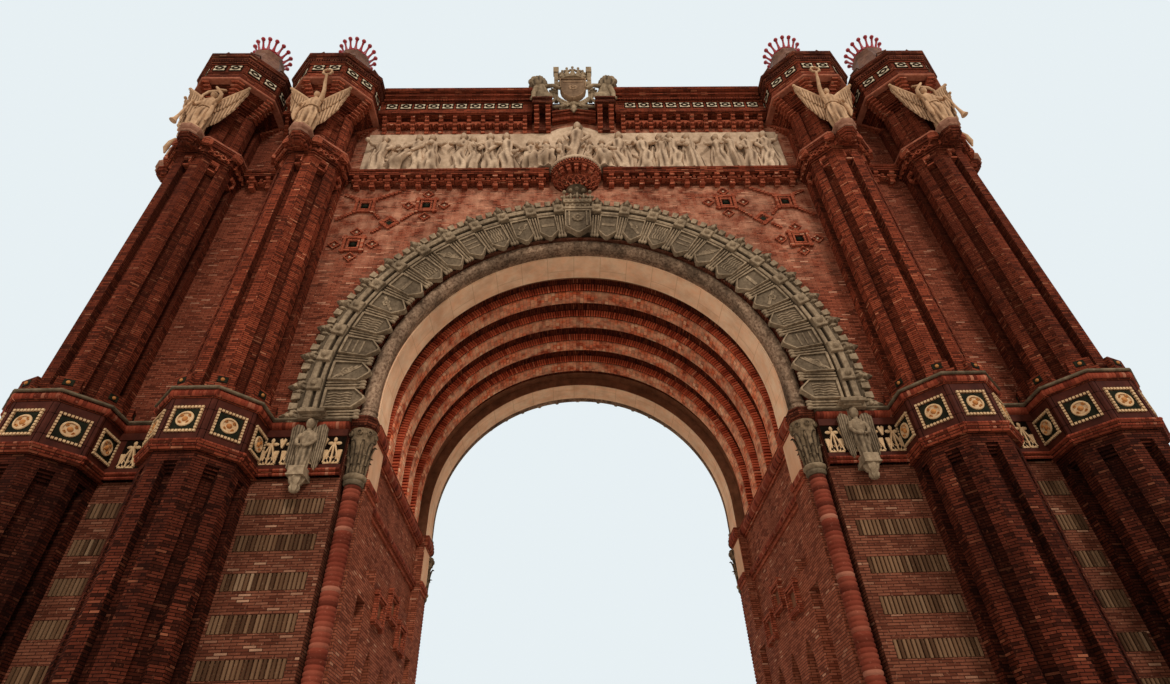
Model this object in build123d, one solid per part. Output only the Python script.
"""Triumphal arch of brick, stone and glazed ceramic, in millimetres.

A single tall passage runs through the building from front to back.
Two hollow brick piers carry a stilted round arch, a ribbed barrel vault and
an attic with a relief frieze. Eight octagonal towers stand against the piers.
The origin is on the ground under the middle of the building, X runs along the
front, Y runs through the passage towards the back, and Z is up.
"""
from build123d import *
from math import cos, pi, sin, sqrt, tan
import os

os.makedirs("parts", exist_ok=True)

# Plan of the piers
front_y = 4700
side_x = 13000
front_wall_t = 1400
side_wall_t = 1200
passage_x = 6030
passage_wall_t = 1150
jamb_x = 5750
jamb_set_back = 400
arris_x = 6280

# Plan of the towers
tower_x_inner = 9650
tower_x_outer = 13450
tower_out = 450

# Heights
plinth_h = 1800
band_z = 9500
spring_z = 11350
ring_z = 21350
table_z = 21950
cap_z = 25300
wall_top_z = 25600
cap_roof_z = 26550
cornice_top_z = 27050
tower_top_z = 29750

# Arch and vault
arch_z = 12230
arch_r = 5750
arch_segments = 48
soffit_ring_t = 500
web_r = 6130
web_t = 520
rib_r = 5880
rib_w = 860
rib_pitch = 1420
rib_count = 4
roll_r = 215
archivolt_r_in = 6290
archivolt_r_out = 7900
archivolt_out = 300

# Tower sizes across the flats
base_w = 2800
lower_w = 2300
band_w = 2500
upper_w = 2060
ring_w = 2650
cap_w = 3400
cornice_w = 3600
top_w = 2900
channel_depth = 250
bracket_h = 800
bracket_courses = 4

# Striped wall
stripe_h = 400
stripe_pitch = 920
stripe_top_z = 8990
stripe_count = 7
stripe_depth = 60

# Passage wall
window_w = 760
window_sill_z = 2700
window_spring_z = 5320
window_pitch = 1480
panel_w = 5100
shoulder_w = 6600
head_w = 4050
shoulder_z = 7100
head_z = 7650
panel_top_z = 8150
blade_pitch = 190

# Attic
frieze_top_z = 24750
frieze_half_w = 8200
frieze_out = 90
corbel_pitch = 575
table_out = 430
cornice_out = 760
parapet_t = 700
centre_half_w = 1700
pedestal_w = 820
pedestal_out = 850
balcony_r = 980

inner_y = front_y - front_wall_t
soffit_y = front_y - jamb_set_back
tower_y = front_y + tower_out
side_inner_x = side_x - side_wall_t
passage_back_x = passage_x + passage_wall_t


def block(x0, x1, y0, y1, z0, z1):
    """A box between two corners."""
    return Pos((x0 + x1) / 2, (y0 + y1) / 2, (z0 + z1) / 2) * Box(x1 - x0, y1 - y0, z1 - z0)


def to_back(solid):
    """The same piece on the back front."""
    return mirror(solid, about=Plane.XZ)


def to_left(solid):
    """The same piece on the left half."""
    return mirror(solid, about=Plane.YZ)


def both_fronts(solid):
    """A piece on the front and its twin on the back."""
    return [solid, to_back(solid)]


def both_sides(solid):
    """A piece on the right and its twin on the left."""
    return [solid, to_left(solid)]


def four(solid):
    """A piece repeated at the four corners of the plan."""
    right = both_fronts(solid)
    return right + [to_left(item) for item in right]


def through(sketch, y0, y1):
    """A drawing in X and Z pushed through from y0 to y1."""
    return extrude(Plane.XZ.offset(-y1) * sketch, y1 - y0)


def along_x(sketch, x0, x1):
    """A drawing in Y and Z pushed along from x0 to x1."""
    return extrude(Plane.YZ.offset(x0) * sketch, x1 - x0)


def outline(points):
    """A flat face through its corner points."""
    return make_face(Polyline(*points, close=True))


def stilted(radius, foot):
    """Half round on the arch centre, in straight voussoirs, with legs down to the foot."""
    points = [(radius, foot)]
    for step in range(arch_segments + 1):
        angle = pi * step / arch_segments
        points.append((radius * cos(angle), arch_z + radius * sin(angle)))
    points.append((-radius, foot))
    return outline(points)


def arch_ring(r_in, r_out, y0, y1, foot=spring_z):
    """A stilted arch ring of rectangular section."""
    return through(stilted(r_out, foot) - stilted(r_in, foot), y0, y1)


def moulded_arch(sections, foot=spring_z):
    """A stilted arch ring whose section is given as depth, inner radius and outer radius."""
    ring = None
    for (y0, in0, out0), (y1, in1, out1) in zip(sections, sections[1:]):
        outer = loft([Plane.XZ.offset(-y0) * stilted(out0, foot), Plane.XZ.offset(-y1) * stilted(out1, foot)],
                     ruled=True)
        inner = loft([Plane.XZ.offset(-y0) * stilted(in0, foot), Plane.XZ.offset(-y1) * stilted(in1, foot)],
                     ruled=True)
        ring = outer - inner if ring is None else ring + (outer - inner)
    return ring


def facets(rings):
    """Solid with flat three-sided facets between matching rings of points."""
    faces = [Face(Wire.make_polygon(ring, close=True)) for ring in (rings[0], rings[-1])]
    for low, high in zip(rings, rings[1:]):
        for k in range(len(low)):
            after = (k + 1) % len(low)
            faces.append(Face(Wire.make_polygon([low[k], low[after], high[after]], close=True)))
            faces.append(Face(Wire.make_polygon([low[k], high[after], high[k]], close=True)))
    return Solid(Shell(faces))


def limb(levels, sides=8):
    """Rounded form through oval sections, each a height, two half widths and a centre."""
    rings = []
    for z, half_x, half_y, x, y in levels:
        angles = [2 * pi * (step + 0.5) / sides for step in range(sides)]
        rings.append([Vector(x + half_x * cos(a), y + half_y * sin(a), z) for a in angles])
    return facets(rings)


def octagon(width):
    """Octagon by its width across the flats, one flat to the front."""
    return RegularPolygon(width / 2, 8, major_radius=False, rotation=22.5)


def ribbed_octagon(width, depth, share=0.34):
    """Octagon with a channel in every face over a share of its side, so that ribs stand at the corners."""
    side = width * tan(pi / 8)
    channel = Pos(width / 2, 0) * Rectangle(2 * depth, side * share)
    return octagon(width) - PolarLocations(0, 8) * channel


def drums(levels):
    """Octagonal drums on each other through levels, each a height and a width across the flats."""
    rings = []
    for z, width in levels:
        corner = width / 2 / cos(pi / 8)
        angles = [pi * (step + 0.5) / 4 for step in range(8)]
        rings.append([Vector(corner * cos(a), corner * sin(a), z) for a in angles])
    faces = [Face(Wire.make_polygon(ring, close=True)) for ring in (rings[0], rings[-1])]
    for low, high in zip(rings, rings[1:]):
        for k in range(8):
            after = (k + 1) % 8
            faces.append(Face(Wire.make_polygon([low[k], low[after], high[after], high[k]], close=True)))
    return Solid(Shell(faces))


def ribbed_shaft(width, z0, z1):
    """Ribbed shaft whose channels close at the top in three stepped courses."""
    course = 75
    head = z1 - 250
    shaft = extrude(Pos(0, 0, z0) * ribbed_octagon(width, channel_depth), head - 3 * course - z0)
    for step in range(3):
        depth = channel_depth * (3 - step) / 4
        z = head - (3 - step) * course
        shaft += extrude(Pos(0, 0, z) * ribbed_octagon(width, depth), course)
    return shaft + extrude(Pos(0, 0, head) * octagon(width), z1 - head)


core = block(-side_x, side_x, -front_y, front_y, -10, cornice_top_z)


def at_towers(piece, engaged=True):
    """A tower piece at all eight towers, cut flat where it meets the building."""
    towers = []
    for x in (tower_x_inner, tower_x_outer):
        item = Pos(x, -tower_y, 0) * piece
        if engaged:
            item -= core
        towers += four(item)
    return towers


# Stone plinths under the two piers, set back a little at the top
def plinth(grow, z0, z1):
    """One course of the plinth, grown sideways past the walls."""
    plan = Pos((jamb_x + side_x) / 2, 0) * Rectangle(side_x - jamb_x + 2 * grow, 2 * (front_y + grow))
    for x in (tower_x_inner, tower_x_outer):
        for y in (-tower_y, tower_y):
            plan += Pos(x, y) * octagon(base_w - 300 + 2 * grow)
    room_w = side_inner_x - passage_back_x
    plan -= Pos((side_inner_x + passage_back_x) / 2, 0) * Rectangle(room_w, 2 * inner_y)
    return extrude(Pos(0, 0, z0) * plan, z1 - z0)


right_plinth = plinth(150, 0, plinth_h - 250) + plinth(60, plinth_h - 250, plinth_h)

# Brick walls of the piers, from the plinth to the springing
bay_edges = [
    (arris_x + 250, tower_x_inner - lower_w / 2 - 60),
    (tower_x_inner + lower_w / 2 + 60, tower_x_outer - lower_w / 2 - 60),
]
side_bay_y = tower_y - lower_w / 2 - 60
front_pier = block(arris_x, side_x, -front_y, -inner_y, plinth_h, spring_z)
side_pier = block(side_inner_x, side_x, -inner_y, inner_y, plinth_h, spring_z)
for row in range(stripe_count):
    top = stripe_top_z - row * stripe_pitch
    for x0, x1 in bay_edges:
        front_pier -= block(x0, x1, -front_y - 10, -front_y + stripe_depth, top - stripe_h, top)
    side_pier -= block(side_x - stripe_depth, side_x + 10, -inner_y - 10, inner_y + 10, top - stripe_h, top)
    front_pier -= block(side_x - stripe_depth, side_x + 10, -side_bay_y, -inner_y + 10, top - stripe_h, top)


# Passage wall with a projecting panel and three pointed windows
def pointed(width, sill, spring):
    """Tall pointed opening drawn in Y and Z."""
    half = width / 2
    reach = width * 1.7
    rise = sqrt(reach ** 2 - (reach - half) ** 2)
    points = [(half, sill), (half, spring)]
    for step in range(1, 5):
        share = step / 4
        height = rise * share
        points.append((sqrt(reach ** 2 - height ** 2) - (reach - half), spring + height))
    points += [(-y, z) for y, z in reversed(points[:-1])]
    return outline(points)


passage_wall = block(passage_x, passage_back_x, -inner_y, inner_y, plinth_h, spring_z)
passage_wall += block(jamb_x, passage_x, -panel_w / 2, panel_w / 2, plinth_h, shoulder_z)
passage_wall += block(jamb_x, passage_x, -shoulder_w / 2, shoulder_w / 2, shoulder_z, head_z)
passage_wall += block(jamb_x, passage_x, -head_w / 2, head_w / 2, head_z, panel_top_z)
window = pointed(window_w, window_sill_z, window_spring_z)
window_y = [step * window_pitch for step in (-1, 0, 1)]
for y in window_y:
    passage_wall -= along_x(Pos(y, 0) * window, jamb_x - 10, passage_back_x + 10)

# Louvre blades across the windows, their ends held in the reveals
louvres = []
blade_section = outline([(0, 0), (36, 0), (210, 130), (174, 130)])
for y in window_y:
    for row in range(int((window_spring_z - window_sill_z) / blade_pitch)):
        z = window_sill_z + 40 + row * blade_pitch
        plane = Plane.XZ.offset(-(y + window_w / 2)) * Pos(passage_x + 60, z)
        louvres.append(extrude(plane * blade_section, window_w))

# Jamb pilasters at both mouths of the passage
jamb = block(jamb_x, arris_x, -soffit_y, -inner_y, plinth_h, spring_z)



# Cornices inside the passage, carried on round the jambs
def impost_section(x, out):
    """Impost moulding on a wall that faces the passage at x."""
    return outline([
        (x, spring_z - 420), (x - 0.42 * out, spring_z - 340), (x - 0.42 * out, spring_z - 210),
        (x - out, spring_z - 150), (x - out, spring_z), (x, spring_z)])


def string_section(x, out):
    """String course on a wall that faces the passage at x."""
    return outline([
        (x, band_z - 150), (x - 0.47 * out, band_z - 80), (x - 0.47 * out, band_z),
        (x - out, band_z + 60), (x - out, band_z + 170), (x, band_z + 220)])


impost = through(impost_section(passage_x, 190), -inner_y, inner_y)
string_course = through(string_section(passage_x, 150), -inner_y, inner_y)
jamb += through(impost_section(jamb_x, 130), -soffit_y, -inner_y)
jamb += through(string_section(jamb_x, 110), -soffit_y, -inner_y)

# Upper walls, the front and back ones cut by the arch
front_wall = block(-side_x, side_x, -front_y, -inner_y, spring_z, wall_top_z)
front_wall -= through(stilted(arch_r + soffit_ring_t, spring_z - 10), -front_y - 10, -inner_y + 10)
side_wall = block(side_inner_x, side_x, -inner_y, inner_y, spring_z, wall_top_z)

# Arch rings, vault web and vault ribs
soffit_ring = arch_ring(arch_r, arch_r + soffit_ring_t, -soffit_y, -inner_y)
web = arch_ring(web_r, web_r + web_t, -inner_y, inner_y)
ribs = []
for row in range(rib_count):
    y = (row - (rib_count - 1) / 2) * rib_pitch
    half = rib_w / 2
    ribs.append(arch_ring(rib_r, web_r, y - half, y + half)
                + arch_ring(web_r - 90, web_r, y - half - 110, y - half)
                + arch_ring(web_r - 90, web_r, y + half, y + half + 110))

# Roll moulding round the mouth of the arch, on a colonnette and capital each side
roll_y = -soffit_y - roll_r - 15
roll_mid_r = arch_r + roll_r + 10
flat = roll_r * tan(pi / 8)
mouth_r = arch_r + soffit_ring_t
roll = moulded_arch([
    (roll_y - roll_r, roll_mid_r - flat, roll_mid_r + flat),
    (roll_y - flat, roll_mid_r - roll_r, roll_mid_r + roll_r)])
roll += moulded_arch([
    (roll_y - flat, roll_mid_r - roll_r, roll_mid_r + roll_r),
    (roll_y + flat, roll_mid_r - roll_r, mouth_r)])
roll += arch_ring(roll_mid_r - roll_r, mouth_r, roll_y + flat, -soffit_y)
column_plinth = block(jamb_x, arris_x, -front_y - 60, -soffit_y, plinth_h, plinth_h + 240)
column_top = band_z + 60
shaft_h = column_top - plinth_h - 240
colonnette = column_plinth + Pos(roll_mid_r, roll_y, plinth_h + 240) * Cylinder(
    roll_r, shaft_h, align=(Align.CENTER, Align.CENTER, Align.MIN))
abacus_z = spring_z - 450
bell = limb([(column_top, roll_r, roll_r, roll_mid_r, roll_y),
             (abacus_z - 300, roll_r + 60, roll_r + 60, roll_mid_r, roll_y),
             (abacus_z, roll_r + 130, roll_r + 130, roll_mid_r, roll_y)], 12)
capital = bell - block(roll_mid_r - 400, roll_mid_r + 400, -soffit_y, -soffit_y + 400, column_top, abacus_z)
capital -= block(arris_x, arris_x + 400, -front_y, 0, column_top, abacus_z)
capital += block(jamb_x - 40, arris_x, -front_y - 120, -soffit_y, abacus_z, spring_z)

# Archivolt of carved stone, a stepped ring that stands on the ceramic band
face = -front_y - archivolt_out
archivolt_foot = band_z + 1740
archivolt = moulded_arch([
    (face - 70, archivolt_r_in + 60, archivolt_r_out - 420),
    (face, archivolt_r_in, archivolt_r_out - 360)], archivolt_foot)
archivolt += arch_ring(archivolt_r_in, archivolt_r_out - 250, face, -front_y, archivolt_foot)
archivolt += arch_ring(archivolt_r_out - 250, archivolt_r_out, face + 130, -front_y, archivolt_foot)

# Towers
tower_lower = ribbed_shaft(lower_w, plinth_h, band_z)
tower_band = drums([
    (band_z, lower_w), (band_z + 60, band_w + 60), (band_z + 160, band_w + 100), (band_z + 160, band_w),
    (band_z + 1400, band_w), (band_z + 1400, band_w + 40), (band_z + 1520, band_w + 160),
    (band_z + 1660, band_w + 60), (spring_z, upper_w + 60)])
tower_upper = ribbed_shaft(upper_w, spring_z, ring_z)
neck_w = upper_w - 40
tower_head = drums([
    (ring_z, upper_w), (ring_z + 150, upper_w + 160), (ring_z + 150, upper_w + 240),
    (ring_z + 330, upper_w + 240), (ring_z + 330, upper_w + 420), (ring_z + 520, upper_w + 420),
    (ring_z + 520, ring_w), (ring_z + 720, ring_w), (ring_z + 720, upper_w + 140), (ring_z + 850, upper_w),
    (ring_z + 850, neck_w), (cap_z, neck_w), (cap_z, cap_w), (cap_z + 220, cap_w),
    (cap_z + 220, cap_w - 140), (cap_roof_z - 200, cap_w - 140), (cap_roof_z - 200, cap_w),
    (cap_roof_z, cap_w), (cap_roof_z, cornice_w), (cap_roof_z + 180, cornice_w),
    (cap_roof_z + 180, cornice_w - 120), (cap_roof_z + 280, cornice_w - 120),
    (cap_roof_z + 280, cornice_w), (cornice_top_z, cornice_w + 100)])

# Stepped brackets that carry the cap at the corners of a tower
for step in range(bracket_courses):
    rise = (step + 1) / bracket_courses
    width = neck_w + rise * (cap_w - 200 - neck_w)
    course = Pos(0, 0, cap_z - (bracket_courses - step) * bracket_h / bracket_courses) * ribbed_octagon(
        width, (width - neck_w) / 2 + 10, 0.36 + 0.24 * rise)
    tower_head += extrude(course, bracket_h / bracket_courses)

tower_top = drums([
    (cornice_top_z, top_w), (cornice_top_z + 350, top_w), (cornice_top_z + 350, top_w - 500),
    (tower_top_z - 500, 1500), (tower_top_z - 500, 1300), (tower_top_z, 1300)])

# Half round shells over the faces of a tower and pointed blocks at its corners
shell_r = 430
shell_z = cornice_top_z + 330
shell = outline([(shell_r * cos(pi * k / 10), shell_z + shell_r * sin(pi * k / 10)) for k in range(11)])
shell = through(shell, -top_w / 2, -top_w / 2 + 330)
point_r = top_w / 2 / cos(pi / 8) - 150
point = limb([(cornice_top_z + 340, 200, 200, point_r, 0), (shell_z + 230, 200, 200, point_r, 0),
              (shell_z + 500, 30, 30, point_r, 0)], 4)
for step in range(8):
    tower_top += Rot(0, 0, 45 * step) * shell
    tower_top += Rot(0, 0, 45 * step + 22.5) * point

# Winged figure that holds up a wreath, standing at the front of a tower
figure_z = ring_z + 720
stand = ring_w / 2 + 175
robe = limb([(0, 330, 290, 0, 0), (450, 380, 310, 0, 0), (950, 380, 290, 0, 0), (1300, 250, 210, 0, 0),
             (1550, 290, 210, 0, 0), (1950, 330, 200, 0, 0), (2130, 110, 110, 0, 0)])
head = limb([(2110, 80, 90, 0, -10), (2230, 130, 150, 0, -20), (2420, 130, 150, 0, -20),
             (2540, 60, 70, 0, -10)])
arm_up = limb([(1880, 90, 90, -240, -40), (2350, 75, 75, -330, -180), (3150, 55, 55, -300, -400)], 6)
arm_down = limb([(1250, 55, 55, 440, -140), (1880, 85, 85, 260, -20)], 6)
wreath = through(RegularPolygon(210, 10) - RegularPolygon(120, 10), -445, -355)
wreath = Pos(-300, 0, 3330) * wreath
wing = through(outline([
    (60, 2000), (420, 2380), (940, 2900), (1050, 2860), (1000, 2500), (820, 2050), (600, 1650),
    (330, 1250), (80, 1450)]), 110, 200)
figure = robe + head + arm_up + arm_down + wreath + wing + to_left(wing)
figure = Pos(0, -stand, figure_z) * figure
figure_pedestal = limb([
    (figure_z - 760, 210, 210, 0, 220 - stand), (figure_z - 420, 370, 370, 0, 40 - stand),
    (figure_z - 300, 410, 410, 0, -stand), (figure_z, 410, 410, 0, -stand)], 12)
figure_pedestal -= block(-700, 700, -ring_w / 2, 0, figure_z - 700, figure_z + 10)
figure_pedestal -= tower_head


def at_stands(piece):
    """A piece before the front of every tower and beside the outer ones."""
    placed = four(Pos(tower_x_inner, -tower_y, 0) * piece)
    placed += four(Pos(tower_x_outer, -tower_y, 0) * piece)
    return placed + four(Pos(tower_x_outer, -tower_y, 0) * Rot(0, 0, 90) * piece)


# Crown of flared spikes with ball ends on each tower
crown_r = 560
spike_count = 16
crown_ring = RegularPolygon(crown_r, 16) - RegularPolygon(crown_r - 110, 16)
crown = extrude(Pos(0, 0, tower_top_z) * crown_ring, 260)
spike = limb([(170, 90, 90, crown_r - 50, 0), (640, 45, 45, crown_r + 180, 0),
              (700, 100, 100, crown_r + 210, 0), (820, 100, 100, crown_r + 240, 0),
              (880, 45, 45, crown_r + 255, 0)], 4)
spike = Pos(0, 0, tower_top_z) * spike
for step in range(spike_count):
    crown += Rot(0, 0, (step + 0.5) * 360 / spike_count) * spike

# Glazed ceramic bands on the walls between the towers
band_out = 120


def wall_band(length):
    """Ceramic band panel with its two mouldings, drawn along X on a face at Y zero."""
    section = outline([
        (0, band_z), (-150, band_z), (-150, band_z + 160), (-band_out, band_z + 160),
        (-band_out, band_z + 1400), (-200, band_z + 1460), (-200, band_z + 1600),
        (-120, band_z + 1700), (0, band_z + 1740)])
    return along_x(section, -length / 2, length / 2)


def wall_band_between(x0, x1):
    """The band on the front wall between two places."""
    return Pos((x0 + x1) / 2, -front_y, 0) * wall_band(x1 - x0)


half_band = band_w / 2
wall_bands = four(wall_band_between(arris_x, tower_x_inner - half_band - 80))
wall_bands += four(wall_band_between(tower_x_inner + half_band + 80, tower_x_outer - half_band - 80))
side_band = Pos(side_x, 0, 0) * Rot(0, 0, 90) * wall_band(2 * (tower_y - half_band - 80))
wall_bands += [side_band, to_left(side_band)]

# Relief friezes of the attic, raised over the middle
frieze = block(-frieze_half_w, frieze_half_w, -front_y - frieze_out, -front_y, table_z, frieze_top_z)
frieze += block(-pedestal_w, pedestal_w, -front_y - frieze_out, -front_y, frieze_top_z, frieze_top_z + 550)


# Corbel tables under the friezes and under the main cornice
def corbel_table(length, top, slab, drop, skip=0):
    """Slab on stepped corbels, drawn along X on a face at Y zero, open in the middle by skip."""
    z = top - slab
    step = table_out / 3
    profile = outline([
        (0, z), (-table_out + 40, z), (-table_out + 40, z - drop / 3), (-2 * step, z - drop / 3),
        (-2 * step, z - 2 * drop / 3), (-step, z - 2 * drop / 3), (-step, z - drop), (0, z - drop)])
    count = int(length / corbel_pitch)
    table = block(-length / 2, length / 2, -table_out, 0, z, top)
    for row in range(count):
        x = (row - (count - 1) / 2) * corbel_pitch
        table += along_x(profile, x - 125, x + 125)
    if skip:
        table -= block(-skip, skip, -table_out - 10, 10, z - drop - 10, top + 10)
    return table


def tables(top, clear, slab, drop, skip):
    """Corbel tables on all four sides, clear of towers of the given width."""
    mid = 2 * (tower_x_inner - clear / 2)
    bay = tower_x_outer - tower_x_inner - clear
    side = 2 * (tower_y - clear / 2)
    bay_x = (tower_x_inner + tower_x_outer) / 2
    solids = both_fronts(Pos(0, -front_y, 0) * corbel_table(mid, top, slab, drop, skip))
    solids += four(Pos(bay_x, -front_y, 0) * corbel_table(bay, top, slab, drop))
    return solids + both_sides(Pos(side_x, 0, 0) * Rot(0, 0, 90) * corbel_table(side, top, slab, drop))


lower_tables = tables(table_z, ring_w, 300, 450, balcony_r)
upper_tables = tables(wall_top_z, cap_w, 150, 700, centre_half_w)

# Main cornice and parapet
low = wall_top_z
split = cap_roof_z
top = cornice_top_z
frieze_points = [
    (0, low), (-table_out - 60, low), (-table_out - 60, low + 230), (-380, low + 270),
    (-380, split - 100), (-430, split - 60), (-430, split), (0, split)]
crown_points = [
    (0, split), (-500, split), (-500, split + 120), (-620, split + 160), (-620, split + 240),
    (-560, split + 240), (-560, split + 300), (-700, split + 340), (-cornice_out, split + 420),
    (-cornice_out, top), (0, top)]


def cornice_between(clear, points):
    """Cornice runs on all four sides between towers of the given width."""
    mid = tower_x_inner - clear / 2
    bay_start = tower_x_inner + clear / 2
    bay_end = tower_x_outer - clear / 2
    side = tower_y - clear / 2
    solids = four(Pos(0, -front_y, 0) * along_x(outline(points), centre_half_w, mid))
    solids += four(Pos(0, -front_y, 0) * along_x(outline(points), bay_start, bay_end))
    return solids + both_sides(Pos(side_x, 0, 0) * Rot(0, 0, 90) * along_x(outline(points), -side, side))


cornice = block(-side_x, side_x, -front_y, front_y, low, top)
cornice -= block(-side_x + parapet_t, side_x - parapet_t, -front_y + parapet_t, front_y - parapet_t,
                 low - 10, top + 10)
for run in cornice_between(cap_w, frieze_points) + cornice_between(cornice_w + 100, crown_points):
    cornice += run
roof_deck = block(-side_x + parapet_t, side_x - parapet_t, -front_y + parapet_t, front_y - parapet_t,
                  low, low + 200)

# Middle of the attic: two pedestals on brackets with a low gable between them
pedestal_x0 = centre_half_w - pedestal_w
bracket_z = frieze_top_z
bracket = outline([
    (0, bracket_z), (-200, bracket_z), (-200, bracket_z + 280), (-420, bracket_z + 280),
    (-420, bracket_z + 560), (-640, bracket_z + 560), (-640, bracket_z + 840),
    (-pedestal_out + 60, bracket_z + 840), (-pedestal_out + 60, bracket_z + 1080), (0, bracket_z + 1080)])
pedestal = along_x(bracket, pedestal_x0 + 30, pedestal_x0 + 250)
pedestal += along_x(bracket, centre_half_w - 250, centre_half_w - 30)
pedestal += block(pedestal_x0, centre_half_w, -pedestal_out, 0, bracket_z + 1080, bracket_z + 1450)
gable = through(outline([
    (-pedestal_x0, bracket_z + 800), (0, bracket_z + 950), (pedestal_x0, bracket_z + 800),
    (pedestal_x0, bracket_z + 1080), (0, bracket_z + 1260), (-pedestal_x0, bracket_z + 1080)]), -400, 0)
pedestal = Pos(0, -front_y, 0) * pedestal
gable = Pos(0, -front_y, 0) * gable

# Crowned shield between two posts on the gable
crest_z = bracket_z + 1080
crest = block(-pedestal_x0 + 40, pedestal_x0 - 40, -400, -100, crest_z, crest_z + 620)
crest = crest - through(outline([
    (-pedestal_x0, crest_z - 10), (pedestal_x0, crest_z - 10), (pedestal_x0, crest_z), (0, crest_z + 180),
    (-pedestal_x0, crest_z)]), -500, 0)
shield = outline([
    (0, crest_z + 500), (330, crest_z + 760), (530, crest_z + 1250), (560, crest_z + 2350),
    (-560, crest_z + 2350), (-530, crest_z + 1250), (-330, crest_z + 760)])
crest += through(shield, -560, -260)
coronet = outline([
    (-440, crest_z + 2350), (440, crest_z + 2350), (560, crest_z + 3100), (330, crest_z + 2850),
    (230, crest_z + 3350), (110, crest_z + 2950), (0, crest_z + 3600), (-110, crest_z + 2950),
    (-230, crest_z + 3350), (-330, crest_z + 2850), (-560, crest_z + 3100)])
crest += through(coronet, -520, -300)
for x in (-720, 720):
    crest += block(x - 90, x + 90, -450, -250, crest_z + 300, crest_z + 3350)
crest = Pos(0, -front_y, 0) * crest

# Seated animal on each pedestal, turned outwards
animal_x = centre_half_w - pedestal_w / 2
animal_z = bracket_z + 1450
body = limb([(0, 360, 300, 0, 0), (500, 330, 280, 0, 0), (1150, 260, 230, 60, -20),
             (1500, 190, 180, 120, -40)])
muzzle = limb([(1420, 200, 170, 170, -60), (1700, 290, 230, 200, -80), (2050, 260, 220, 160, -60),
               (2350, 120, 110, 100, -20)])
animal = Pos(animal_x, -front_y - pedestal_out / 2, animal_z) * (body + muzzle)

# Half round balcony over the middle of the arch, ending in a pendant
balcony_rings = [(-1250, 60), (-1050, 330), (-1049, 380), (-650, balcony_r - 200), (-649, balcony_r - 140),
                 (-300, balcony_r - 140), (-299, balcony_r), (0, balcony_r)]
balcony = limb([(table_z + z, r, r, 0, -front_y) for z, r in balcony_rings], 24) - core

# Consoles under the feet of the archivolt, each a winged figure on a cube over a leafy knob
console_x = (archivolt_r_in + archivolt_r_out) / 2 + 150
console = limb([(-2240, 50, 50, 0, -120), (-2120, 150, 120, 0, -150), (-1900, 190, 150, 0, -160),
                (-1790, 110, 100, 0, -150)])
console += block(-210, 210, -340, 0, -1800, -1550)
console += limb([(-1560, 170, 130, 0, -170), (-1150, 230, 160, 0, -180), (-800, 160, 130, 0, -190),
                 (-600, 200, 140, 0, -190), (-380, 200, 130, 0, -190), (-310, 70, 70, 0, -190)])
console += limb([(-330, 70, 70, 0, -190), (-270, 100, 110, 0, -200), (-170, 110, 120, 0, -200),
                 (-90, 60, 60, 0, -190)])
console_wing = through(outline([(120, -500), (330, -240), (540, -330), (560, -700), (430, -1250),
                                (250, -1520), (150, -1300)]), -120, 0)
console += block(-360, 360, -390, 0, -150, 0)
console = console + console_wing + to_left(console_wing)
console = Pos(console_x, -front_y - 200, archivolt_foot) * console - Pos(0, -front_y, 0) * block(
    console_x - 900, console_x + 900, -200, 200, archivolt_foot - 3000, archivolt_foot + 10)

# Raised stepped frames on the passage panels
hood = []
for y, z in [(-1350, head_z - 400), (0, head_z + 80), (1350, head_z - 400)]:
    frame = Rectangle(940, 780) - Rectangle(540, 440)
    hood.append(along_x(Pos(y, z) * frame, jamb_x - 130, jamb_x))

for name, solids in {
    "plinths": both_sides(right_plinth),
    "pier_front_walls": both_sides(front_pier),
    "pier_back_walls": both_sides(to_back(front_pier)),
    "pier_side_walls": both_sides(side_pier),
    "passage_wall_right": [passage_wall],
    "passage_wall_left": [to_left(passage_wall)],
    "passage_frames": hood + [to_left(item) for item in hood],
    "window_louvres": louvres + [to_left(item) for item in louvres],
    "jamb_pilasters": four(jamb),
    "passage_imposts": both_sides(impost),
    "passage_string_courses": both_sides(string_course),
    "upper_wall_front": [front_wall],
    "upper_wall_back": [to_back(front_wall)],
    "upper_wall_right": [side_wall],
    "upper_wall_left": [to_left(side_wall)],
    "soffit_arch_front": [soffit_ring],
    "soffit_arch_back": [to_back(soffit_ring)],
    "vault_web": [web],
    "vault_ribs": ribs,
    "roll_arches": both_fronts(roll),
    "colonnettes": four(colonnette),
    "colonnette_capitals": four(capital),
    "archivolt_front": [archivolt],
    "archivolt_back": [to_back(archivolt)],
    "arch_consoles": four(console),
    "tower_lower_shafts": at_towers(tower_lower),
    "tower_bands": at_towers(tower_band),
    "tower_upper_shafts": at_towers(tower_upper),
    "tower_heads": at_towers(tower_head),
    "tower_tops": at_towers(tower_top, engaged=False),
    "tower_crowns": at_towers(crown, engaged=False),
    "figure_pedestals": at_stands(figure_pedestal),
    "winged_figures": at_stands(figure),
    "ceramic_wall_bands": wall_bands,
    "relief_friezes": both_fronts(frieze),
    "frieze_corbel_tables": lower_tables,
    "cornice_corbel_tables": upper_tables,
    "main_cornice": [cornice],
    "roof_deck": [roof_deck],
    "balconies": both_fronts(balcony),
    "attic_pedestals": four(pedestal),
    "attic_gables": both_fronts(gable),
    "attic_shields": both_fronts(crest),
    "seated_animals": four(animal),
}.items():
    pieces = [solid for item in solids for solid in item.solids()]
    export_step(Compound(children=pieces), f"parts/{name}.step")
